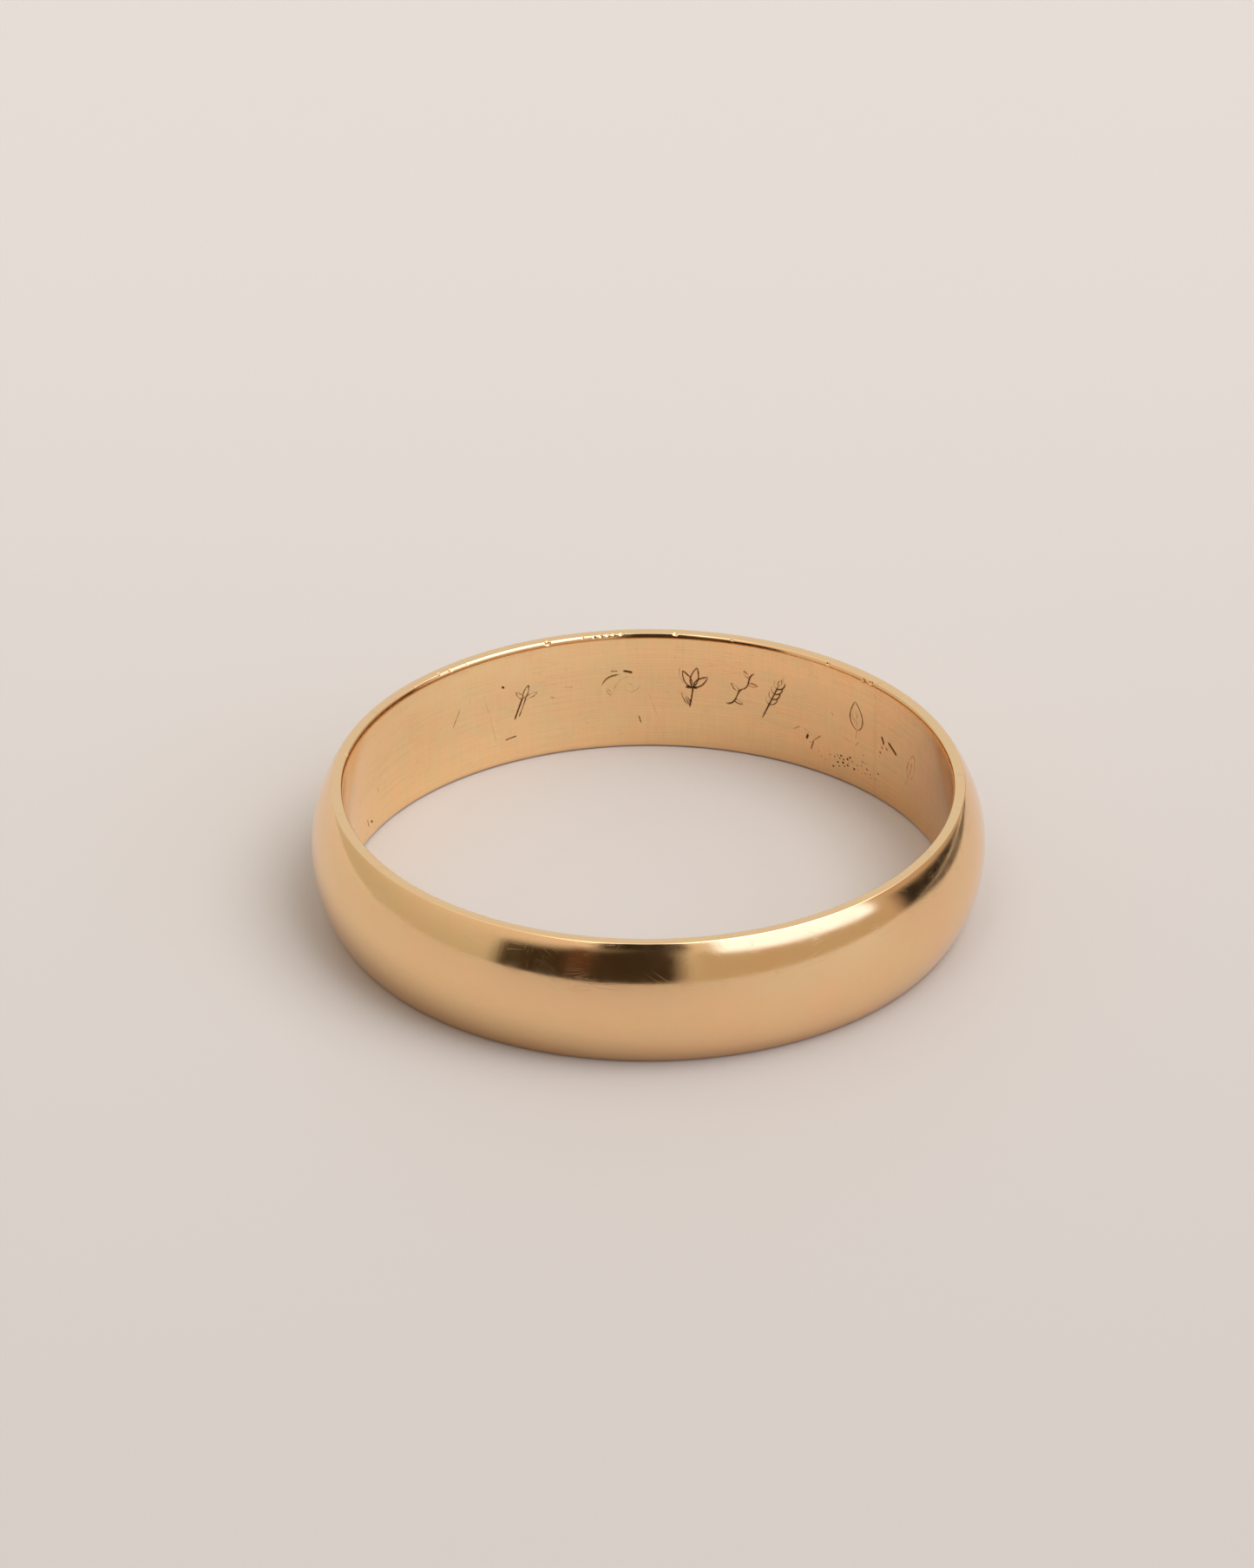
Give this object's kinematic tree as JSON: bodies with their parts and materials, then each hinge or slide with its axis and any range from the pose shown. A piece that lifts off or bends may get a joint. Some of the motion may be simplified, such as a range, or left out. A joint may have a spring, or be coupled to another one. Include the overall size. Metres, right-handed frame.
{
  "type": "wedding band",
  "caption": "Plain polished gold finger ring with a flat bore, a low domed outside and narrow rounded edges, closed by a flush solder joint.",
  "frame": {"origin": "centre of the finger bore, on the surface that the band lies on", "axes": "+Z along the finger, up from the surface; the solder joint is 40 degrees from +X towards +Y"},
  "size_m": [0.0202, 0.0202, 0.004],
  "materials": {
    "yellow_gold": "polished",
    "gold_solder": "polished"
  },
  "bodies": {
    "root": {"band": "yellow_gold", "solder_joint": "gold_solder"}
  },
  "joints": []
}
